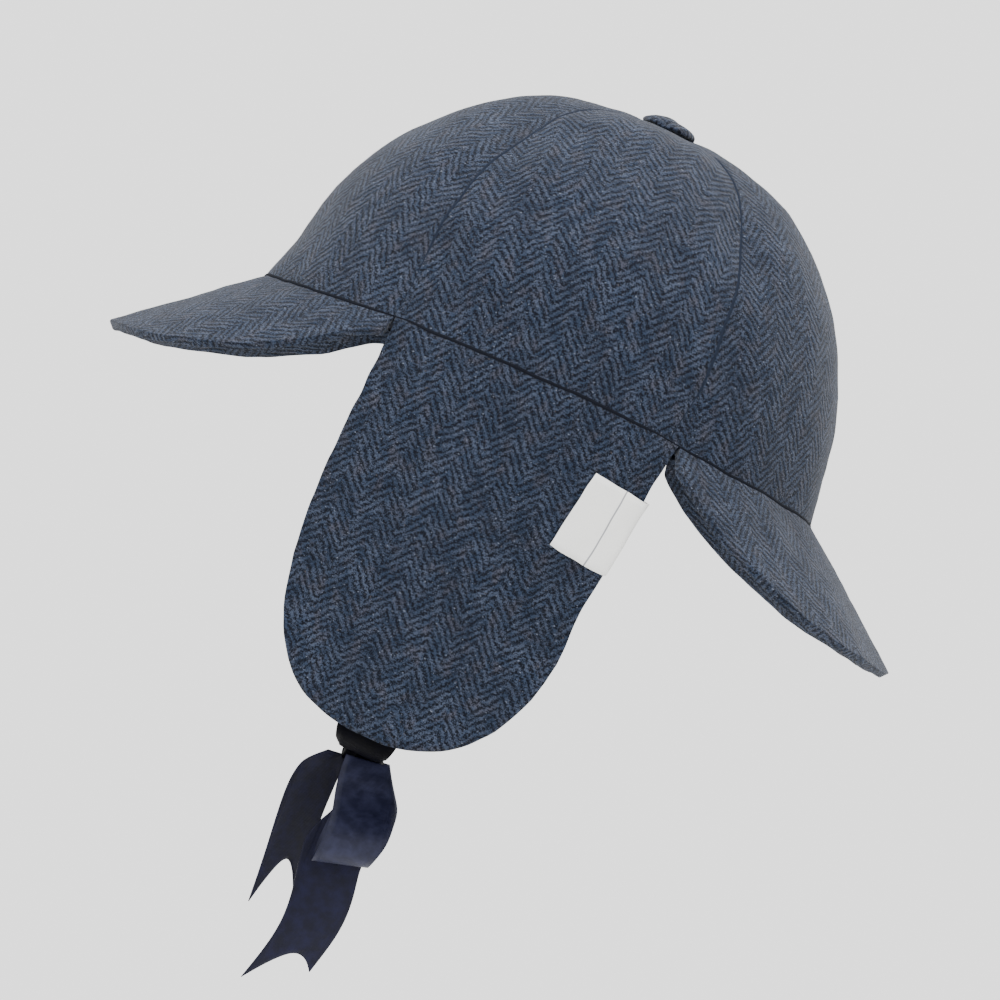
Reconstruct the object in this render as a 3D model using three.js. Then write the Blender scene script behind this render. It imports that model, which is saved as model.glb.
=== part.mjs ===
// A deerstalker hat of herringbone tweed, with its ear flaps down and its ribbon tied in a bow.
// Millimetres, +Z up. The hat is level, as on a head: the front peak points to -X, the wearer's left
// ear flap is at -Y, and the origin is the middle of the head seam, where the hat sits on the head.

import * as THREE from "three";

// Clear space between neighbouring pieces.
const GAP = 0.3;

// Crown: half sizes of each level section, from the head seam up to the button.
const CROWN_SECTIONS = [
  { height: 0, front: 105.4, back: 105, side: 84 },
  { height: 10, front: 102.2, back: 103, side: 83.8 },
  { height: 22, front: 99.2, back: 101, side: 83.4 },
  { height: 36, front: 96.2, back: 97.4, side: 81.6 },
  { height: 50, front: 90.7, back: 91.8, side: 77.2 },
  { height: 64, front: 82.4, back: 84.4, side: 69.6 },
  { height: 76, front: 71.8, back: 75.6, side: 60.4 },
  { height: 86, front: 60.8, back: 65.4, side: 50.5 },
  { height: 94, front: 49.4, back: 54.6, side: 41 },
  { height: 99.4, front: 38, back: 42, side: 31.5 },
  { height: 102.2, front: 28.5, back: 27, side: 22 },
  { height: 103.6, front: 15.5, back: 13, side: 12 },
  { height: 103.8, front: 3.5, back: 3.5, side: 3.5 },
];
const CROWN_CLOTH = 2;
const SEAM_RISE = 6.3;
const PANEL_PUFF = 1.4;
const PANEL_GRID = { across: 8, along: 16 };

// Seams between the crown's panels: degrees round from the centre back, at the foot and at the top.
// Each row also names the panel that starts at that seam.
const CROWN_SEAMS = [
  { foot: 0, top: 0, panel: "crown_panel_back_right" },
  { foot: 64, top: 51, panel: "crown_panel_right" },
  { foot: 122.7, top: 132.5, panel: "crown_panel_front_right" },
  { foot: 180, top: 180, panel: "crown_panel_front_left" },
  { foot: 237.3, top: 227.5, panel: "crown_panel_left" },
  { foot: 296, top: 309, panel: "crown_panel_back_left" },
  { foot: 360, top: 360 },
];

// Covered button over the meeting point of the seams.
const BUTTON = { x: 1.6, radius: 10, height: 4.6, rim: 0.9, domeSteps: 8, turnSteps: 32 };

// Peaks: a crescent on each end of the head seam. The angles, in degrees, are the span to each side of
// the peak's middle, the part of it over which the crescent narrows, and the fall of its surface at
// the seam, at its edge and added at its two ends. The length runs out from the seam.
const PEAKS = [
  {
    name: "front_peak",
    middle: 180,
    halfSpan: 57.5,
    crescent: 54,
    taper: 2.9,
    length: 55.5,
    endLength: 7,
    seamSlope: 39,
    edgeSlope: 42,
    endDroop: 14,
  },
  {
    name: "back_peak",
    middle: 0,
    halfSpan: 61.2,
    crescent: 61.2,
    taper: 2.8,
    length: 57,
    endLength: 9,
    seamSlope: 37.5,
    edgeSlope: 38.5,
    endDroop: 14,
  },
];
const PEAK_THICKNESS = 3;
const PEAK_GRID = { across: 28, along: 5 };

// Ear flaps: where the front and back edges run, from the head seam down.
const FLAP_EDGES = [
  { z: 6, front: -56.1, back: 50.1 },
  { z: -8, front: -55.3, back: 47 },
  { z: -30, front: -56, back: 45.2 },
  { z: -57, front: -56.2, back: 43.2 },
  { z: -129, front: -56.2, back: 43.2 },
];
const FLAP_THICKNESS = 3;
const FLAP_ROUND_FROM = -57;
const FLAP_BOTTOM = -128.4;
const FLAP_ROUNDNESS = 2.6;
const FLAP_GRID = { across: 16, along: 13 };

// A flap leaves the oval of the head seam and hangs a little further in, almost flat, at this depth.
const FLAP_HANG = { depth: 72, curve: 5, curveAt: 50, reachedAt: 100 };

// Ribbon. Each row is a point of the middle of the ribbon's face, with its width there. turn swings
// the width round +Z from +X, and lean lifts its +X end, in degrees. The rows are the left side's.
const RIBBON_THICKNESS = 1;
const KNOT = { x: -4, z: -138.5, halfLength: 8, halfDepth: 6, halfHeight: 5.5 };
const CHIN_RIBBON = [
  { x: -5.5, y: -66.6, z: -111, turn: 0, lean: 0, width: 22 },
  { x: -5.5, y: -66.6, z: -120, turn: 0, lean: 0, width: 22 },
  { x: -5.5, y: -66, z: -127.5, turn: 0, lean: 0, width: 21.5 },
  { x: -5.5, y: -62.4, z: -131.5, turn: 0, lean: 0, width: 19 },
  { x: -5.5, y: -56, z: -133, turn: 0, lean: 0, width: 17 },
  { x: -5.5, y: -42, z: -134.4, turn: 0, lean: 0, width: 15.5 },
  { x: -5.2, y: -26, z: -135.5, turn: 0, lean: 0, width: 14 },
  { x: -5, y: -7, z: -136.2, turn: 0, lean: 0, width: 11 },
];
const BOW_LOOP = [
  { x: -2.2, y: -7.2, z: -138.6, turn: 0, lean: 8, width: 15.5 },
  { x: -0.6, y: -9.5, z: -143.5, turn: 0, lean: 10, width: 18 },
  { x: 1.6, y: -12, z: -149, turn: 0, lean: 13, width: 20.5 },
  { x: 4, y: -16.5, z: -154.2, turn: 0, lean: 15, width: 22 },
  { x: 5.2, y: -22.5, z: -159, turn: 0, lean: 17, width: 22 },
  { x: 5.4, y: -26, z: -165, turn: 0, lean: 17, width: 22 },
  { x: 4.4, y: -24.5, z: -170.6, turn: 0, lean: 17, width: 20.5 },
  { x: 3.6, y: -20, z: -173.6, turn: 0, lean: 17, width: 19.5 },
  { x: 3.6, y: -15, z: -171.8, turn: 0, lean: 16, width: 20 },
  { x: 4, y: -11.8, z: -166, turn: 0, lean: 12, width: 21.5 },
  { x: 3, y: -9.8, z: -157, turn: 0, lean: 10, width: 19 },
  { x: 1, y: -8, z: -150, turn: 0, lean: 8, width: 16 },
  { x: -1, y: -6.2, z: -145.2, turn: 0, lean: 8, width: 13 },
];
const FRONT_TAIL = [
  { x: -13.8, y: 0.5, z: -140.2, turn: 64, lean: 0, width: 14 },
  { x: -15.2, y: 0, z: -143.6, turn: 56, lean: 0, width: 18.5 },
  { x: -16.7, y: -0.5, z: -148, turn: 49, lean: 0, width: 21 },
  { x: -17.2, y: -1, z: -156, turn: 47, lean: 0, width: 22 },
  { x: -16.6, y: -1, z: -166, turn: 48, lean: 0, width: 22 },
  { x: -14.8, y: 0, z: -178, turn: 46, lean: 0, width: 22 },
  { x: -13.6, y: 1, z: -190, turn: 47, lean: 0, width: 22 },
  { x: -12.8, y: 1.5, z: -200, turn: 48, lean: 0, width: 22 },
];
const BACK_TAIL = [
  { x: 0, y: -2, z: -144.9, turn: 0, lean: 0, width: 12 },
  { x: 2, y: -4, z: -151, turn: 0, lean: 0, width: 15 },
  { x: 3, y: -5.5, z: -158, turn: 0, lean: 0, width: 17.5 },
  { x: 1.3, y: -6, z: -165, turn: 0, lean: 0, width: 21 },
  { x: 0, y: -6, z: -173, turn: 4, lean: 0, width: 22 },
  { x: 2.2, y: -6.5, z: -184, turn: 8, lean: 0, width: 22 },
  { x: 3.3, y: -5.5, z: -196, turn: 25, lean: 0, width: 22 },
  { x: 1.7, y: -4, z: -208.6, turn: 34, lean: 0, width: 22 },
  { x: -2.4, y: -3, z: -224.6, turn: 35, lean: 0, width: 22 },
];
const STRAP_GRID = { across: 2, along: 20 };
const LOOP_GRID = { across: 2, along: 30 };
const TAIL_GRID = { across: 8, along: 14 };

// The tails' swallow-tail ends: the notch, and how much shorter the +X point is, as shares of a tail.
// The notch is arched: its cut falls away from the middle as this power of the way to the edge.
const FRONT_TAIL_END = { notch: 0.22, slant: 0.06 };
const BACK_TAIL_END = { notch: 0.075, slant: 0.08 };
const NOTCH_ARCH = 1.7;

// Label folded round the rear edge of the left flap.
const LABEL = {
  top: -15,
  bottom: -43.6,
  leaf: 20.5,
  thickness: 0.5,
  turnRadius: 2.3,
  proudTop: 0.8,
  proudBottom: -0.6,
  rearDrop: 2.2,
};
const LABEL_GRID = { across: 20, along: 3 };

const finish = (colour, roughness) =>
  new THREE.MeshStandardMaterial({ color: colour, roughness, metalness: 0 });
const tweed = finish(0x55647c, 0.95);
const ribbonSatin = finish(0x2b2e4a, 0.5);
const labelWhite = finish(0xe4e4e0, 0.8);

const { clamp, degToRad, lerp, smoothstep } = THREE.MathUtils;

function piece(name, geometry, material) {
  const mesh = new THREE.Mesh(geometry, material);
  mesh.name = name;
  return mesh;
}

// A flat slab bent onto a surface. chart(u, v) turns the slab's unit square into the surface's own
// two coordinates, surface(a, b) gives the outer face, and the slab lies behind that face.
function bentSlab(surface, grid, thickness, chart = (u, v) => [u, v]) {
  const slab = new THREE.BoxGeometry(1, 1, 1, grid.across, grid.along, 1);
  const corners = slab.attributes.position;
  for (let i = 0; i < corners.count; i++) {
    const [a, b] = chart(corners.getX(i) + 0.5, corners.getY(i) + 0.5);
    const depth = (corners.getZ(i) - 0.5) * thickness;
    const place = surface(a, b).addScaledVector(faceNormal(surface, a, b), depth);
    corners.setXYZ(i, place.x, place.y, place.z);
  }
  return slab;
}

function faceNormal(surface, a, b) {
  const step = 1e-3;
  const alongA = surface(a + step, b).sub(surface(a - step, b));
  const alongB = surface(a, b + step).sub(surface(a, b - step));
  return alongA.cross(alongB).normalize();
}

// A smooth curve through three columns of a table, one row to each equal step of its parameter.
function curveThrough(rows, columns) {
  const points = rows.map((row) => new THREE.Vector3(...columns.map((column) => row[column])));
  return new THREE.CatmullRomCurve3(points);
}

const frontProfile = curveThrough(CROWN_SECTIONS, ["front", "side", "height"]);
const backProfile = curveThrough(CROWN_SECTIONS, ["back", "side", "height"]);
const headSeam = CROWN_SECTIONS[0];

// The crown's smooth outer face: angle round from the centre back, climb from 0 at the head seam to 1
// at the top. The seam rises over the ears, and the rise dies away up the crown.
function crownPoint(angle, climb) {
  const profile = Math.cos(angle) < 0 ? frontProfile : backProfile;
  const level = clamp(climb, 0, 1);
  const section = profile.getPoint(level);
  const rise = SEAM_RISE * Math.sin(angle) ** 2 * (1 - level) ** 2;
  return new THREE.Vector3(
    section.x * Math.cos(angle),
    section.y * Math.sin(angle),
    section.z + rise,
  );
}

// One gore of the crown, puffed out a little between its seams.
function crownPanel(seam, nextSeam) {
  const smoothFace = (u, v) => {
    const start = degToRad(lerp(seam.foot, seam.top, v));
    const end = degToRad(lerp(nextSeam.foot, nextSeam.top, v));
    const foot = crownPoint(start, v);
    const inset = GAP / 2 / Math.hypot(foot.x, foot.y);
    return crownPoint(lerp(start + inset, end - inset, u), v);
  };
  const puffedFace = (u, v) => {
    const puff = PANEL_PUFF * Math.sin(Math.PI * u) * Math.sin(Math.PI * v);
    return smoothFace(u, v).addScaledVector(faceNormal(smoothFace, u, v), puff);
  };
  return bentSlab(puffedFace, PANEL_GRID, CROWN_CLOTH);
}

function crown() {
  const panels = new THREE.Group();
  for (let i = 0; i + 1 < CROWN_SEAMS.length; i++) {
    const panel = crownPanel(CROWN_SEAMS[i], CROWN_SEAMS[i + 1]);
    panels.add(piece(CROWN_SEAMS[i].panel, panel, tweed));
  }
  return panels;
}

function crownButton() {
  const outline = [new THREE.Vector2(0, 0), new THREE.Vector2(BUTTON.radius - BUTTON.rim, 0)];
  for (let i = 0; i < BUTTON.domeSteps; i++) {
    const swing = (Math.PI / 2) * (i / BUTTON.domeSteps);
    const radius = BUTTON.radius * Math.cos(swing);
    const height = lerp(BUTTON.rim, BUTTON.height, Math.sin(swing));
    outline.push(new THREE.Vector2(radius, height));
  }
  outline.push(new THREE.Vector2(0, BUTTON.height));
  const dome = new THREE.LatheGeometry(outline, BUTTON.turnSteps);
  dome.rotateX(Math.PI / 2);
  dome.translate(BUTTON.x, 0, CROWN_SECTIONS.at(-1).height + GAP);
  return piece("crown_button", dome, tweed);
}

// A peak's upper face runs out from the foot of the crown, square to the head seam's oval.
function peak(shape) {
  const upperFace = (u, v) => {
    const offset = lerp(shape.halfSpan, -shape.halfSpan, u);
    const foot = crownPoint(degToRad(shape.middle + offset), 0);
    const reach = foot.x < 0 ? headSeam.front : headSeam.back;
    const outward = new THREE.Vector3(foot.x / reach ** 2, foot.y / headSeam.side ** 2, 0).normalize();
    const narrowing = Math.min(1, Math.abs(offset) / shape.crescent) ** shape.taper;
    const run = v * lerp(shape.length, shape.endLength, narrowing);
    const curl = (v / 2) * (shape.edgeSlope - shape.seamSlope);
    const droop = shape.endDroop * (offset / shape.halfSpan) ** 2;
    const slope = degToRad(shape.seamSlope + curl + droop);
    const fall = new THREE.Vector3(0, 0, -GAP - run * Math.sin(slope));
    return foot.addScaledVector(outward, run * Math.cos(slope)).add(fall);
  };
  return piece(shape.name, bentSlab(upperFace, PEAK_GRID, PEAK_THICKNESS), tweed);
}

// A flap edge's place along X at a height, straight between the table's rows.
function flapEdge(z, column) {
  const below = Math.max(1, FLAP_EDGES.findIndex((row) => row.z <= z));
  const upper = FLAP_EDGES[below - 1];
  const lower = FLAP_EDGES[below];
  const share = (upper.z - z) / (upper.z - lower.z);
  return lerp(upper[column], lower[column], share);
}

// The outer face of a flap's cloth: side is -1 for the left flap and 1 for the right one.
function flapCloth(side, x, z) {
  const reach = x < 0 ? headSeam.front : headSeam.back;
  const seamDepth = headSeam.side * Math.sqrt(1 - (x / reach) ** 2);
  const hangDepth = FLAP_HANG.depth - FLAP_HANG.curve * (x / FLAP_HANG.curveAt) ** 2;
  const depth = lerp(seamDepth, hangDepth, smoothstep(-z, 0, FLAP_HANG.reachedAt));
  return new THREE.Vector3(x, side * depth, z);
}

// A flap is cut square to the head seam at its top, with parallel sides and a round end.
function earFlap(side) {
  const chart = (u, v) => {
    const across = side * Math.sin(Math.PI * (0.5 - u));
    const roundPart = (1 - Math.abs(across) ** FLAP_ROUNDNESS) ** (1 / FLAP_ROUNDNESS);
    const bottom = lerp(FLAP_ROUND_FROM, FLAP_BOTTOM, roundPart);
    const seamX = lerp(FLAP_EDGES[0].front, FLAP_EDGES[0].back, (across + 1) / 2);
    const top = SEAM_RISE * (1 - (seamX / headSeam.back) ** 2) - GAP;
    const z = lerp(bottom, top, v);
    const x = lerp(flapEdge(z, "front"), flapEdge(z, "back"), (across + 1) / 2);
    return [side * -x, z];
  };
  const cloth = (a, z) => flapCloth(side, side * -a, z);
  return bentSlab(cloth, FLAP_GRID, FLAP_THICKNESS, chart);
}

// A stretch of ribbon along a table's rows. side 1 mirrors the rows to the right side of the hat.
function ribbon(rows, grid, side = -1, end = { notch: 0, slant: 0 }) {
  const middle = curveThrough(rows, ["x", "y", "z"]);
  const setting = curveThrough(rows, ["turn", "lean", "width"]);
  const face = (u, v) => {
    const along = clamp(v, 0, 1);
    const [turn, lean, width] = setting.getPoint(along).toArray();
    const across = new THREE.Vector3(1, 0, 0)
      .applyAxisAngle(new THREE.Vector3(0, -1, 0), degToRad(lean))
      .applyAxisAngle(new THREE.Vector3(0, 0, 1), degToRad(turn));
    const offset = side * (0.5 - u) * width;
    const place = middle.getPoint(along).addScaledVector(across, offset);
    place.y *= -side;
    return place;
  };
  const cutEnd = (u, v) => {
    const plusX = side < 0 ? u : 1 - u;
    const arch = 1 - Math.abs(2 * u - 1) ** NOTCH_ARCH;
    const cut = end.notch * arch + end.slant * plusX;
    return [u, v * (1 - cut)];
  };
  return bentSlab(face, grid, RIBBON_THICKNESS, cutEnd);
}

function bowKnot() {
  const knot = new THREE.SphereGeometry(1, 16, 10);
  knot.scale(KNOT.halfLength, KNOT.halfDepth, KNOT.halfHeight);
  knot.translate(KNOT.x, 0, KNOT.z);
  return piece("bow_knot", knot, ribbonSatin);
}

// The label is one strip: an outer leaf, a turn round the flap's rear edge, and an inner leaf.
function flapLabel() {
  const turnLength = Math.PI * LABEL.turnRadius;
  const cloth = (x, z) => flapCloth(-1, x, z);
  const wrap = (u, v) => {
    const along = lerp(-LABEL.leaf, LABEL.leaf + turnLength, u);
    const swing = clamp(along / turnLength, 0, 1) * Math.PI;
    const onLeaf = along < 0 ? along : Math.min(0, turnLength - along);
    const z = lerp(LABEL.bottom, LABEL.top, v) - LABEL.rearDrop * (1 + onLeaf / LABEL.leaf);
    const x = flapEdge(z, "back") + lerp(LABEL.proudBottom, LABEL.proudTop, v) + onLeaf;
    const outward = faceNormal(cloth, x, z);
    const rearward = new THREE.Vector3(0, 0, 1).cross(outward).normalize();
    return cloth(x, z)
      .addScaledVector(outward, LABEL.turnRadius * Math.cos(swing) - FLAP_THICKNESS / 2)
      .addScaledVector(rearward, LABEL.turnRadius * Math.sin(swing));
  };
  return piece("flap_label", bentSlab(wrap, LABEL_GRID, LABEL.thickness), labelWhite);
}

const hat = new THREE.Group();
hat.add(crown(), crownButton(), ...PEAKS.map(peak));
for (const [side, name] of [[-1, "left"], [1, "right"]]) {
  hat.add(piece(`ear_flap_${name}`, earFlap(side), tweed));
  hat.add(piece(`chin_ribbon_${name}`, ribbon(CHIN_RIBBON, STRAP_GRID, side), ribbonSatin));
  hat.add(piece(`bow_loop_${name}`, ribbon(BOW_LOOP, LOOP_GRID, side), ribbonSatin));
}
hat.add(bowKnot(), flapLabel());
hat.add(piece("bow_tail_front", ribbon(FRONT_TAIL, TAIL_GRID, -1, FRONT_TAIL_END), ribbonSatin));
hat.add(piece("bow_tail_back", ribbon(BACK_TAIL, TAIL_GRID, -1, BACK_TAIL_END), ribbonSatin));

export default hat;
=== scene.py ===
# A deerstalker hat in blue herringbone tweed, held up as a head holds it, with its ear flaps down and
# its ribbon tied in a bow under them. Metres, +Z up; the front peak points to -X and the wearer's left
# ear flap is at -Y. The frame gives every piece its place.

import math

import bmesh
import bpy
import numpy as np
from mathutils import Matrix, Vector, kdtree, noise


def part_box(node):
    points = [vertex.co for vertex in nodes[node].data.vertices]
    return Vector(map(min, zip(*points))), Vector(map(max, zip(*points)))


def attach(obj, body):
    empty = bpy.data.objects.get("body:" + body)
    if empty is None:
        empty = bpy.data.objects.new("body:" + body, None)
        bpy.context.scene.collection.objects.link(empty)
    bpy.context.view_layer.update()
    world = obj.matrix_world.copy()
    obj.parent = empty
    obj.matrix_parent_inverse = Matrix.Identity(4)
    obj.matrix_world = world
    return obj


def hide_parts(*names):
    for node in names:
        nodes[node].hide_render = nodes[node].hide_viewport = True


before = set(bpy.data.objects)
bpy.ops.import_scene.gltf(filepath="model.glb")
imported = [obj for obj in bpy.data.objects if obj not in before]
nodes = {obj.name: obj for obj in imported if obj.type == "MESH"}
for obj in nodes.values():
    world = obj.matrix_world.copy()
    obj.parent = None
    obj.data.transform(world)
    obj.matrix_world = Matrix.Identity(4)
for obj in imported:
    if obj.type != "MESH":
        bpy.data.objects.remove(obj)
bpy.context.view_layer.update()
MM = 0.001

# ---------------------------------------------------------------------------------------------------
# Camera, floor and light: the hat is seen square on to its left side, and tipped up at the front as
# it hangs. The floor lies well below it. Soft light comes from overhead and from the camera's side.

view_aim = Vector((1.9, 0, -36.8)) * MM
view_distance = 2200 * MM
view_half_width = 174.4 * MM
hat_tip = math.radians(24.6)

camera = bpy.data.objects.new("camera", bpy.data.cameras.new("camera"))
camera.location = view_aim - Vector((0, view_distance, 0))
camera.rotation_euler = (math.pi / 2, -hat_tip, 0)
camera.data.angle = 2 * math.atan(view_half_width / view_distance)
bpy.context.scene.collection.objects.link(camera)
bpy.context.scene.camera = camera

bpy.ops.object.select_all(action="DESELECT")
bpy.ops.mesh.primitive_circle_add(vertices=96, radius=6, fill_type="NGON", location=(0, 0, -0.9))
floor = bpy.context.object
floor.name = "floor"


def soft_light(name, place, aim, size, watts):
    """A square soft box at a place, facing a point."""
    lamp = bpy.data.lights.new(name, "AREA")
    lamp.size = size
    lamp.energy = watts
    light = bpy.data.objects.new(name, lamp)
    light.location = place
    light.rotation_euler = (Vector(aim) - Vector(place)).to_track_quat("-Z", "Y").to_euler()
    bpy.context.scene.collection.objects.link(light)


soft_light("overhead", (-0.5, -0.5, 1.7), (0, 0, 0), 1.6, 55)
soft_light("front_fill", (-1.3, -2.1, 0.5), (0, 0, -0.05), 1.4, 10)
soft_light("back_fill", (1.6, 1.6, 0.9), (0, 0, -0.05), 1.4, 18)

world = bpy.data.worlds.new("white_room")
world.use_nodes = True
world.node_tree.nodes["Background"].inputs["Color"].default_value = (1, 1, 1, 1)
world.node_tree.nodes["Background"].inputs["Strength"].default_value = 2.0
bpy.context.scene.world = world


class Shade:
    """A value on its way through a finish. A sum on it adds the nodes that work the sum out."""

    def __init__(self, finish, socket):
        self.finish = finish
        self.socket = socket

    def output(self, name):
        return Shade(self.finish, self.socket.node.outputs[name])

    def math(self, operation, *values):
        return self.finish.node("ShaderNodeMath", {"operation": operation}, dict(enumerate(values)))

    def __add__(self, other):
        return self.math("ADD", self, other)

    def __sub__(self, other):
        return self.math("SUBTRACT", self, other)

    def __rsub__(self, other):
        return self.math("SUBTRACT", other, self)

    def __mul__(self, other):
        return self.math("MULTIPLY", self, other)

    def __truediv__(self, other):
        return self.math("DIVIDE", self, other)

    def __gt__(self, other):
        return self.math("GREATER_THAN", self, other)

    def __abs__(self):
        return self.math("ABSOLUTE", self)

    __radd__ = __add__
    __rmul__ = __mul__

    def part(self):
        """What is left of the value past its whole number."""
        return self.math("FRACT", self)

    def step(self):
        """The whole number nearest to the value."""
        return self.math("ROUND", self)

    def rise(self, low, high):
        """0 below low, 1 above high, and a smooth rise between them."""
        return self.finish.node(
            "ShaderNodeMapRange", {"interpolation_type": "SMOOTHSTEP"}, {0: self, 1: low, 2: high}
        )


class Finish:
    """One material while it is mixed: a principled shader, and the nodes that feed it."""

    def __init__(self, name, **fixed):
        self.material = bpy.data.materials.new(name)
        self.material.use_nodes = True
        self.tree = self.material.node_tree
        self.shader = self.tree.nodes["Principled BSDF"]
        for socket, value in fixed.items():
            self.shader.inputs[socket.replace("_", " ")].default_value = value

    def node(self, kind, settings=None, inputs=None):
        made = self.tree.nodes.new(kind)
        for name, value in (settings or {}).items():
            setattr(made, name, value)
        for key, value in (inputs or {}).items():
            if isinstance(value, Shade):
                self.tree.links.new(value.socket, made.inputs[key])
            else:
                made.inputs[key].default_value = value
        live = [output for output in made.outputs if output.enabled]
        return Shade(self, live[0])

    def noise(self, place, scale, detail=2):
        made = self.node("ShaderNodeTexNoise", {}, {"Vector": place, "Scale": scale, "Detail": detail})
        return made.output("Fac")

    def stretched(self, place, along):
        return self.node(
            "ShaderNodeVectorMath", {"operation": "MULTIPLY"}, {0: place, 1: along}
        )

    def blend(self, share, first, second):
        """Colour first where share is 0, and second where it is 1."""
        kind = {"data_type": "RGBA"}
        return self.node("ShaderNodeMix", kind, {"Factor": share, 6: first, 7: second})

    def wear(self, colour, roughness, height, depth):
        """Joins the colour, the roughness and a bump of that depth, in metres, to the shader."""
        self.tree.links.new(colour.socket, self.shader.inputs["Base Color"])
        self.tree.links.new(roughness.socket, self.shader.inputs["Roughness"])
        bump = self.node(
            "ShaderNodeBump", {}, {"Height": height, "Distance": depth, "Strength": 1.0}
        )
        self.tree.links.new(bump.socket, self.shader.inputs["Normal"])
        return self.material


def tint(red, green, blue):
    """A colour as a screen shows it, 0 to 255, turned into what the shader takes."""
    linear = [((c / 255 + 0.055) / 1.055) ** 2.4 if c > 10 else c / 3295 for c in (red, green, blue)]
    return (*linear, 1.0)


ground = Finish("pale_floor", Roughness=0.9)
ground_place = ground.node("ShaderNodeTexCoord").output("Object")
ground_grain = ground.noise(ground_place, 60)
floor.data.materials.append(
    ground.wear(
        ground.blend(ground_grain, tint(236, 236, 234), tint(240, 240, 239)),
        ground_grain * 0.1 + 0.85,
        ground_grain,
        0.05 * MM,
    )
)

# ---------------------------------------------------------------------------------------------------
# Crown: six gores of tweed, cut with the herringbone running up each one, seamed together right sides
# in and turned. Each gore's edges roll into its seams, and the seams pucker the cloth a little.

CLOTH_MAP = "cloth"
SHARP = math.radians(50)
hair = 0.02 * MM


def only(piece):
    """Selects this piece alone and makes it the active one."""
    bpy.ops.object.select_all(action="DESELECT")
    piece.select_set(True)
    bpy.context.view_layer.objects.active = piece


def modify(piece, kind, **settings):
    """Adds a modifier to a piece and applies it."""
    only(piece)
    modifier = piece.modifiers.new(kind.lower(), kind)
    for name, value in settings.items():
        setattr(modifier, name, value)
    bpy.ops.object.modifier_apply(modifier=modifier.name)


def refine(piece, levels):
    modify(piece, "SUBSURF", levels=levels, render_levels=levels)


def start_from(node):
    """The piece that stands for a CAD node, begun as a merged copy of it in four-sided faces."""
    piece = bpy.data.objects.new(f"{node}_cloth", nodes[node].data.copy())
    piece.data.materials.clear()
    bpy.context.scene.collection.objects.link(piece)
    only(piece)
    bpy.ops.mesh.customdata_custom_splitnormals_clear()
    while piece.data.uv_layers:
        piece.data.uv_layers.remove(piece.data.uv_layers[0])
    bpy.ops.object.mode_set(mode="EDIT")
    bpy.ops.mesh.select_all(action="SELECT")
    bpy.ops.mesh.remove_doubles(threshold=0.001 * MM)
    bpy.ops.mesh.tris_convert_to_quads(
        face_threshold=1.2, shape_threshold=math.pi, topology_influence=1
    )
    bpy.ops.object.mode_set(mode="OBJECT")
    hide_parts(node)
    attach(piece, "root")
    return piece


def sides_of(shape, sharp=SHARP):
    """The sharp-edged sides of a bent slab, the largest first, as lists of faces."""
    left = set(shape.faces)
    sides = []
    while left:
        side = [left.pop()]
        for face in side:
            for edge in face.edges:
                if len(edge.link_faces) == 2 and edge.calc_face_angle() < sharp:
                    for other in edge.link_faces:
                        if other in left:
                            left.remove(other)
                            side.append(other)
        sides.append(side)
    return sorted(sides, key=lambda side: -sum(face.calc_area() for face in side))


def outer_side(sides, outward):
    """Of a slab's two faces, the one that looks outwards at its middle, and then the other."""
    def facing(side):
        return sum(face.normal.dot(outward(face.calc_center_median())) * face.calc_area() for face in side)

    return sorted(sides[:2], key=facing, reverse=True)


def lay_out(piece, outward, chart):
    """Flattens a piece onto the cloth it is cut from, in mm, as its map. chart gives about where a point
    of the piece's face comes on the cloth, and sets how the cut lies to the grain."""
    shape = bmesh.new()
    shape.from_mesh(piece.data)
    sides = sides_of(shape)
    outer, inner = outer_side(sides, outward)
    creases = shape.edges.layers.float.new("crease_edge")
    side_of = {face: number for number, side in enumerate(sides) for face in side}
    hidden = side_of[inner[0]]
    shown = side_of[outer[0]]
    for edge in shape.edges:
        meeting = {side_of[face] for face in edge.link_faces}
        edge[creases] = 1.0 if len(meeting) > 1 else 0.0
        edge.seam = hidden in meeting and len(meeting) > 1 or len(meeting - {hidden, shown}) > 1
    shape.faces.ensure_lookup_table()
    shape.to_mesh(piece.data)
    piece.data.uv_layers.new(name=CLOTH_MAP)
    only(piece)
    bpy.ops.object.mode_set(mode="EDIT")
    bpy.ops.mesh.select_all(action="SELECT")
    bpy.ops.uv.unwrap(method="MINIMUM_STRETCH", iterations=30, margin=0.001)
    bpy.ops.object.mode_set(mode="OBJECT")
    shape.free()

    shape = bmesh.new()
    shape.from_mesh(piece.data)
    cloth = shape.loops.layers.uv[CLOTH_MAP]
    sides = sides_of(shape)
    outer, inner = outer_side(sides, outward)
    rims = [face for side in sides for face in side if side is not inner and side is not outer]
    for leading, following in ((outer, rims), (inner, [])):
        corners = [corner for face in leading for corner in face.loops]
        laid = np.array([complex(*corner[cloth].uv) for corner in corners])
        wanted = np.array([complex(*chart(corner.vert.co)) for corner in corners])
        real_area = sum(face.calc_area() for face in leading) / MM**2
        laid_area = 0.0
        for face in leading:
            around = [complex(*corner[cloth].uv) for corner in face.loops]
            shifted = around[1:] + around[:1]
            laid_area += sum((a.conjugate() * b).imag for a, b in zip(around, shifted)) / 2
        scale = math.sqrt(real_area / abs(laid_area))
        centre = laid.mean()
        turned = ((laid - centre).conjugate() * (wanted - wanted.mean())).sum()
        mirrored = ((laid - centre) * (wanted - wanted.mean())).sum()
        flip = abs(mirrored) > abs(turned)
        turn = (mirrored if flip else turned) / max(abs(mirrored), abs(turned))
        for corner in corners + [corner for face in following for corner in face.loops]:
            offset = complex(*corner[cloth].uv) - centre
            offset = offset.conjugate() if flip else offset
            spot = offset * turn * scale + wanted.mean()
            corner[cloth].uv = (spot.real, spot.imag)
    shape.to_mesh(piece.data)
    shape.free()


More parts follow.
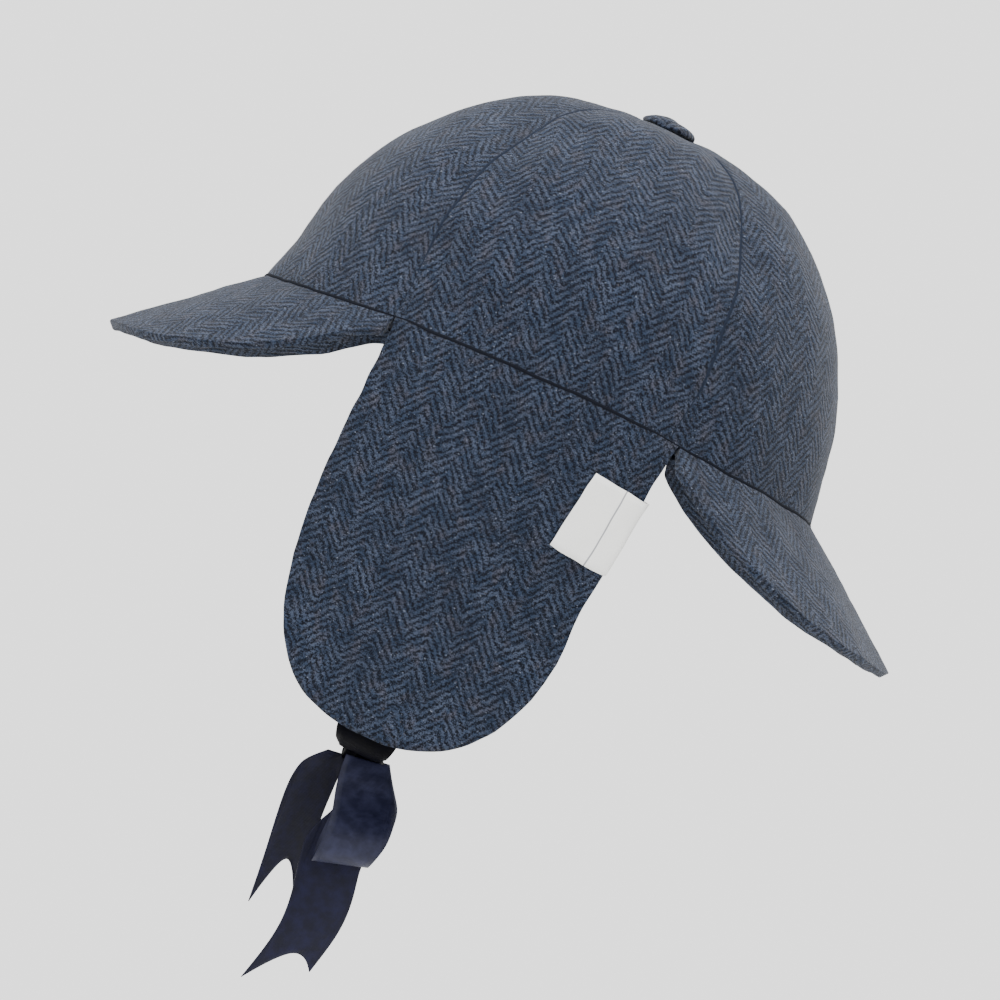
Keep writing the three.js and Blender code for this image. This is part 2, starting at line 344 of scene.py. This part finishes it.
def ruffle(piece, amount, size):
    """Shifts the cloth a little, as sewing and handling leave it. Neighbouring pieces shift together."""
    for point in piece.data.vertices:
        point.co += noise.noise_vector(point.co / size) * amount


def handle(piece):
    """The slack of the whole hat: slow waves, and smaller ones on them."""
    ruffle(piece, 1.0 * MM, 24 * MM)
    ruffle(piece, 0.35 * MM, 7 * MM)


def weld(piece):
    """Joins the points that lie within a hair of each other."""
    only(piece)
    bpy.ops.object.mode_set(mode="EDIT")
    bpy.ops.mesh.select_all(action="SELECT")
    bpy.ops.mesh.remove_doubles(threshold=hair)
    bpy.ops.object.mode_set(mode="OBJECT")


def finish_edges(piece, levels, roll):
    """Makes the fine surface of a piece of cloth, with rolled edges and slight unevenness."""
    refine(piece, levels)
    modify(piece, "BEVEL", width=roll, segments=3, limit_method="ANGLE", angle_limit=SHARP)
    weld(piece)
    handle(piece)
    only(piece)
    bpy.ops.object.shade_smooth()


def tweed():
    """Herringbone tweed: dark warp ends crossed by paler blue-grey picks in a two-and-two twill that
    turns back every few ends, both spun from mixed wool with darker, paler and brownish flecks."""
    column_pair = 16.1
    twill_rise = 3.35
    twill_steepness = 1.12
    end_width = 0.8
    pick_width = 0.84
    cloth = Finish("herringbone_tweed", Sheen_Weight=0.09, Sheen_Roughness=0.5, Specular_IOR_Level=0.05)
    place = cloth.node("ShaderNodeUVMap", {"uv_map": CLOTH_MAP})
    elsewhere = cloth.stretched(place, (-1, -1, 0))
    apart = cloth.node("ShaderNodeSeparateXYZ", {}, {0: place})
    sway = (cloth.noise(place, 0.22, 3) - 0.5) * 2.6
    rise_and_fall = (cloth.noise(elsewhere, 0.22, 3) - 0.5) * 2.8
    across = apart.output("X") + sway + (cloth.noise(place, 1.0, 1) - 0.5) * 0.8
    along = apart.output("Y") + rise_and_fall + (cloth.noise(elsewhere, 1.0, 1) - 0.5) * 0.9
    column = (across / column_pair).part()
    out = abs(column - 0.5) * column_pair
    stepped = (out / end_width).step() * end_width
    climb = (along + (out * 0.5 + stepped * 0.5) * twill_steepness) / twill_rise
    ridge = 1 - abs(climb.part() - 0.5) * 2
    lint = cloth.noise(place, 1.3, 3)
    yarn_lie = cloth.noise(cloth.stretched(place, (0.5, 1.6, 1)), 0.9, 3)
    fibre = cloth.noise(cloth.stretched(place, (1, 0.6, 1)), 3.2, 3)
    uneven = (lint - 0.5) * 1.7 + (yarn_lie - 0.5) * 1.3 + (fibre - 0.5) * 2.2
    pale = (ridge * 0.64 + uneven + 0.13).rise(0.05, 0.95)
    hue = cloth.noise(cloth.stretched(place, (1, 0.7, 1)), 0.22, 3)
    warmth = cloth.noise(cloth.stretched(elsewhere, (1, 0.7, 1)), 0.2, 3)
    dark = cloth.blend(warmth.rise(0.4, 0.7), tint(9, 12, 20), tint(15, 17, 23))
    cool = cloth.blend(hue.rise(0.35, 0.65), tint(41, 51, 69), tint(60, 68, 85))
    light = cloth.blend(warmth.rise(0.5, 0.72), cool, tint(63, 65, 77))
    body = cloth.blend(pale, dark, light)
    tone = cloth.noise(place, 0.055, 2)
    shadowed = cloth.blend(tone.rise(0.3, 0.7) * 0.3, body, tint(12, 16, 26))
    flecks = cloth.noise(cloth.stretched(place, (1, 1.4, 1)), 0.85, 2).rise(0.64, 0.78)
    flecked = cloth.blend(flecks * 0.7, shadowed, tint(112, 119, 134))
    knops = cloth.noise(cloth.stretched(place, (-1.2, 1, 1)), 0.6, 1).rise(0.7, 0.8)
    knopped = cloth.blend(knops * 0.5, flecked, tint(74, 70, 71))
    pick = 1 - abs((along / pick_width).part() - 0.5) * 2
    end = 1 - abs((across / end_width).part() - 0.5) * 2
    height = ridge.rise(0.1, 0.9) * 0.5 + lint * 0.8 + pick * 0.12 + end * 0.1 + yarn_lie * 0.4
    return cloth.wear(knopped, 0.95 - pale * 0.1, height, 0.4 * MM)


tweed_cloth = tweed()


def from_axis(point):
    return Vector((point.x, point.y, point.z)).normalized()


def gore_chart(piece):
    """Where a gore's points come on the cloth: across its middle line, and up it."""
    low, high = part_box(piece)
    middle = Vector(((low[0] + high[0]) / 2, (low[1] + high[1]) / 2, 0)).normalized()
    sideways = Vector((-middle.y, middle.x, 0))

    def chart(point):
        out = Vector((point.x, point.y, 0)).dot(middle)
        climb = point.z + (cad_crown_reach - out) * 0.6
        return sideways.dot(point) / MM, climb / MM

    return chart


side_column_shift = 9.35


def side_chart(point):
    """Where a point of the hat's side comes on the cloth, for what hangs or stands square to it."""
    return point.x / MM + side_column_shift, point.z / MM


cad_crown_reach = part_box("crown_panel_back_left")[1][0]
gores = {}
for node in sorted(name for name in nodes if name.startswith("crown_panel_")):
    gore = start_from(node)
    straight = node in ("crown_panel_left", "crown_panel_right")
    lay_out(gore, from_axis, side_chart if straight else gore_chart(node))
    gores[node] = gore


seam_depth = 0.65 * MM


def edge_runs(piece):
    """The four edges of a gore's face, each as points in order, sunk to where the seam is sewn."""
    shape = bmesh.new()
    shape.from_mesh(piece.data)
    outer, inner = outer_side(sides_of(shape), from_axis)
    face_set = set(outer)
    border = [edge for edge in shape.edges if sum(face in face_set for face in edge.link_faces) == 1]
    ends = {point for edge in border for point in edge.verts}
    corners = [point for point in ends if len([face for face in point.link_faces if face in face_set]) == 1]
    runs = []
    for corner in corners:
        for edge in [edge for edge in corner.link_edges if edge in border]:
            run = [corner]
            while edge is not None:
                point = edge.other_vert(run[-1])
                run.append(point)
                onward = [e for e in point.link_edges if e in border and e is not edge]
                edge = None if point in corners else onward[0]
            if run[0].index < run[-1].index:
                runs.append([p.co - from_axis(p.co) * seam_depth for p in run])
    shape.free()
    return runs


gore_edges = []
foot_edges = []
for node, gore in gores.items():
    low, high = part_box(node)
    for run in edge_runs(gore):
        rise = abs(run[0].z - run[-1].z)
        if rise > (high[2] - low[2]) / 2:
            gore_edges.append(run)
        elif max(point.z for point in run) < (high[2] + low[2]) / 2:
            foot_edges.append([point - Vector((0, 0, 0.15 * MM)) for point in run])
for gore in gores.values():
    finish_edges(gore, 2, 0.7 * MM)
    gore.data.materials.append(tweed_cloth)

# ---------------------------------------------------------------------------------------------------
# Seams: navy sewing thread lies down in the closed groove of each seam, up between the gores, where it
# all but vanishes in the nap, and round the head seam, where crown, peaks and flaps are caught together.
# Its dark colour is painted shade for the grooves, darkest and thickest round the head seam.

gore_thread_radius = 0.6 * MM
head_thread_radius = 0.78 * MM


# Painted shade: a dark thread finish that stands for the shade in a seam's groove.
def seam_shade_dye(name, dark, pale):
    seam_shade_finish = Finish(name, Specular_IOR_Level=0.1)
    place = seam_shade_finish.node("ShaderNodeTexCoord").output("Object")
    twist = seam_shade_finish.noise(place, 900)
    return seam_shade_finish.wear(seam_shade_finish.blend(twist, dark, pale), 0.85 + twist * 0.1, twist, 0.1 * MM)


def sew(name, runs, thread_radius, seam_shade_finish):
    """A tube of thread along each run of points, as one piece."""
    line = bpy.data.curves.new(name, "CURVE")
    line.dimensions = "3D"
    line.bevel_depth = thread_radius
    line.bevel_resolution = 1
    line.resolution_u = 4
    line.use_fill_caps = True
    for run in runs:
        spline = line.splines.new("BEZIER")
        spline.bezier_points.add(len(run) - 1)
        for spot, point in zip(spline.bezier_points, run):
            spot.co = point
            spot.handle_left_type = "AUTO"
            spot.handle_right_type = "AUTO"
    thread = bpy.data.objects.new(name, line)
    bpy.context.scene.collection.objects.link(thread)
    only(thread)
    bpy.ops.object.convert(target="MESH")
    weld(thread)
    handle(thread)
    bpy.ops.object.shade_smooth()
    thread.data.materials.append(seam_shade_finish)
    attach(thread, "root")


# Painted shade: dark thread colours for the shade in the seam grooves, darkest round the head seam.
gore_thread_painted_shade = seam_shade_dye("gore_thread_painted_shade", tint(15, 19, 29), tint(30, 37, 51))
head_thread_painted_shade = seam_shade_dye("head_thread_painted_shade", tint(6, 8, 14), tint(15, 18, 27))
sew("gore_seam_shade_threads", gore_edges, gore_thread_radius, gore_thread_painted_shade)
sew("head_seam_shade_thread", foot_edges, head_thread_radius, head_thread_painted_shade)

# ---------------------------------------------------------------------------------------------------
# Crown button: a domed button covered in the same tweed, its cover gathered under it, sewn over the
# point where the gores meet.

button = start_from("crown_button")
button_map = button.data.uv_layers.new(name=CLOTH_MAP)
for corner in button.data.loops:
    point = button.data.vertices[corner.vertex_index].co
    button_map.data[corner.index].uv = (point.x / MM, point.y / MM + 3)
refine(button, 2)
ruffle(button, 0.8 * MM, 5 * MM)
only(button)
bpy.ops.object.shade_smooth()
button.data.materials.append(tweed_cloth)

# ---------------------------------------------------------------------------------------------------
# Peaks: two crescents of tweed over a stiff core, with the herringbone running from front to back.
# Each is turned and pressed to a firm edge, and its straight edge is caught in the head seam.


def upwards(point):
    return Vector((0, 0, 1))


def peak_chart(point):
    """Columns run out from the crown; the slope of the peak is let out flat."""
    return point.y / MM, abs(point.x) / MM / math.cos(math.radians(40))


for node in ("front_peak", "back_peak"):
    peak = start_from(node)
    lay_out(peak, upwards, peak_chart)
    finish_edges(peak, 2, 1.2 * MM)
    peak.data.materials.append(tweed_cloth)

# ---------------------------------------------------------------------------------------------------
# Ear flaps: two thicknesses of tweed bagged out and pressed, sewn into the head seam at the top, with
# the herringbone hanging straight down in line with the crown's side.

for side in ("left", "right"):
    flap = start_from(f"ear_flap_{side}")
    outward = Vector((0, -1 if side == "left" else 1, 0))
    lay_out(flap, lambda point: outward, side_chart)
    finish_edges(flap, 2, 1.2 * MM)
    flap.data.materials.append(tweed_cloth)

# ---------------------------------------------------------------------------------------------------
# Ribbon: navy satin ribbon 22 mm wide, glossy on its face and dull on its back. One length is sewn inside
# each flap, back outwards, and they meet under the chin in a bow with swallow-tail ends. The chin lengths
# and the knot are painted near-black as painted shade under the flaps, and the loops a brighter navy as a
# painted highlight.


def satin(name, deep, bright, gloss):
    """Satin ribbon: glossy floats across fine ribs, rubbed matt in places."""
    ribbon = Finish(name, Specular_IOR_Level=gloss)
    place = ribbon.node("ShaderNodeUVMap", {"uv_map": CLOTH_MAP})
    apart = ribbon.node("ShaderNodeSeparateXYZ", {}, {0: place})
    rib = abs((apart.output("Y") * 2.2).part() - 0.5) * 2
    rub = ribbon.noise(place, 0.22, 3)
    crease = ribbon.noise(ribbon.stretched(place, (0.25, 1, 1)), 0.35, 2)
    edge = abs(apart.output("X")).rise(9.6, 10.4)
    colour = ribbon.blend(rub.rise(0.3, 0.75), deep, bright)
    darker_edge = ribbon.blend(edge * 0.4, colour, deep)
    height = rib * 0.25 + crease * 1.5 + edge * 0.6
    return ribbon.wear(darker_edge, 0.4 + rub * 0.2, height, 0.12 * MM)


satin_ribbon = satin("navy_satin", tint(10, 11, 27), tint(18, 19, 43), 0.14)
# Painted highlight: the loops' satin is a brighter navy than the tails', for the light on their outer
# bellies.
satin_loop_painted_highlight = satin("navy_satin_loop_painted_highlight", tint(19, 21, 40), tint(34, 36, 58), 0.2)
# Painted shade: a matt, near-black satin for the chin lengths and the knot, which hang in the shade under
# the flaps.
satin_back_painted_shade = satin("navy_satin_back_painted_shade", tint(1, 1, 3), tint(3, 3, 8), 0.02)


def ribbon_face(node, outward, thickness, levels, sharp=SHARP):
    """One thickness of ribbon along the outer face of a CAD slab, with its map: across it and along it."""
    piece = start_from(node)
    shape = bmesh.new()
    shape.from_mesh(piece.data)
    outer, inner = outer_side(sides_of(shape, sharp), outward)
    rest = [face for face in shape.faces if face not in set(outer)]
    bmesh.ops.delete(shape, geom=rest, context="FACES")
    pinned = shape.verts.layers.float.new("crease_vert")
    for point in shape.verts:
        point[pinned] = 1.0 if len(point.link_faces) == 1 else 0.0
    shape.to_mesh(piece.data)
    shape.free()
    piece.data.uv_layers.new(name=CLOTH_MAP)
    only(piece)
    bpy.ops.object.mode_set(mode="EDIT")
    bpy.ops.mesh.select_all(action="SELECT")
    bpy.ops.uv.unwrap(method="MINIMUM_STRETCH", iterations=30, margin=0.001)
    bpy.ops.object.mode_set(mode="OBJECT")
    straighten_map(piece)
    refine(piece, levels)
    modify(piece, "SOLIDIFY", thickness=thickness, offset=-1)
    only(piece)
    bpy.ops.object.shade_smooth()
    return piece


def straighten_map(piece):
    """Turns and sizes a strip's map so that it is in mm, with its length along Y and X 0 at its middle."""
    laid_map = piece.data.uv_layers[CLOTH_MAP].data
    laid = np.array([complex(*spot.uv) for spot in laid_map])
    laid -= laid.mean()
    turn = np.exp(-0.5j * np.angle((laid**2).sum())) * 1j
    laid *= turn
    laid_area = 0.0
    for face in piece.data.polygons:
        around = [laid[i] for i in face.loop_indices]
        laid_area += sum((a.conjugate() * b).imag for a, b in zip(around, around[1:] + around[:1])) / 2
    real_area = sum(face.area for face in piece.data.polygons) / MM**2
    laid *= math.sqrt(real_area / abs(laid_area))
    for spot, place in zip(laid_map, laid):
        spot.uv = (place.real, place.imag)


def from_knot(point):
    return Vector((point.x - knot_middle.x, point.y, point.z - knot_middle.z))


knot_low, knot_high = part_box("bow_knot")
knot_middle = (Vector(knot_low) + Vector(knot_high)) / 2
loop_middles = {}
ribbon_thickness = 0.4 * MM
for side in ("left", "right"):
    away = Vector((0, -1 if side == "left" else 1, 0))
    chin = ribbon_face(f"chin_ribbon_{side}", lambda point: away + Vector((0, 0, -1)), ribbon_thickness, 2)
    handle(chin)
    # Painted shade: the chin lengths are near-black.
    chin.data.materials.append(satin_back_painted_shade)
    low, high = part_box(f"bow_loop_{side}")
    loop_middle = (Vector(low) + Vector(high)) / 2
    loop = ribbon_face(f"bow_loop_{side}", lambda point: point - loop_middle, ribbon_thickness, 2)
    # Painted highlight: the loops are a brighter navy.
    loop.data.materials.append(satin_loop_painted_highlight)

for node, length in (("bow_tail_front", 0.063), ("bow_tail_back", 0.083)):
    tail = ribbon_face(node, lambda point: Vector((0, -1, 0)), ribbon_thickness, 2)
    tail.data.materials.append(satin_ribbon)

knot = start_from("bow_knot")
knot_map = knot.data.uv_layers.new(name=CLOTH_MAP)
for corner in knot.data.loops:
    point = knot.data.vertices[corner.vertex_index].co - knot_middle
    turn = math.atan2(point.y, point.z)
    knot_map.data[corner.index].uv = (point.x / MM, turn * 6)
refine(knot, 2)
for point in knot.data.vertices:
    around = math.atan2(point.co.y, point.co.z - knot_middle.z)
    fold = math.sin((point.co.x - knot_middle.x) / MM * 1.6 + 1.2 * math.sin(around))
    point.co += (point.co - knot_middle).normalized() * fold * 0.35 * MM
only(knot)
bpy.ops.object.shade_smooth()
# Painted shade: the knot is near-black.
knot.data.materials.append(satin_back_painted_shade)

# ---------------------------------------------------------------------------------------------------
# Label: a strip of white woven tape folded round the rear edge of the left flap and caught down. It is
# blank but for one fine grey rule on each leaf, beside the fold.


rule_from_fold = 11.3


def tape():
    tape_finish = Finish("white_tape", Specular_IOR_Level=0.3)
    place = tape_finish.node("ShaderNodeUVMap", {"uv_map": CLOTH_MAP})
    apart = tape_finish.node("ShaderNodeSeparateXYZ", {}, {0: place})
    rib = abs((apart.output("Y") * 3).part() - 0.5) * 2
    grain = tape_finish.noise(place, 1.5, 3)
    rule = 1 - abs(abs(apart.output("Y")) - rule_from_fold).rise(0.15, 0.4)
    colour = tape_finish.blend(grain, tint(222, 222, 220), tint(236, 236, 233))
    ruled = tape_finish.blend(rule * 0.9, colour, tint(120, 122, 128))
    return tape_finish.wear(ruled, 0.6 + grain * 0.15, rib * 0.3 + grain, 0.06 * MM)


label_turn = math.radians(75)
label = ribbon_face("flap_label", lambda point: Vector((1, 0, 0)), 0.4 * MM, 2, label_turn)
handle(label)
label.data.materials.append(tape())
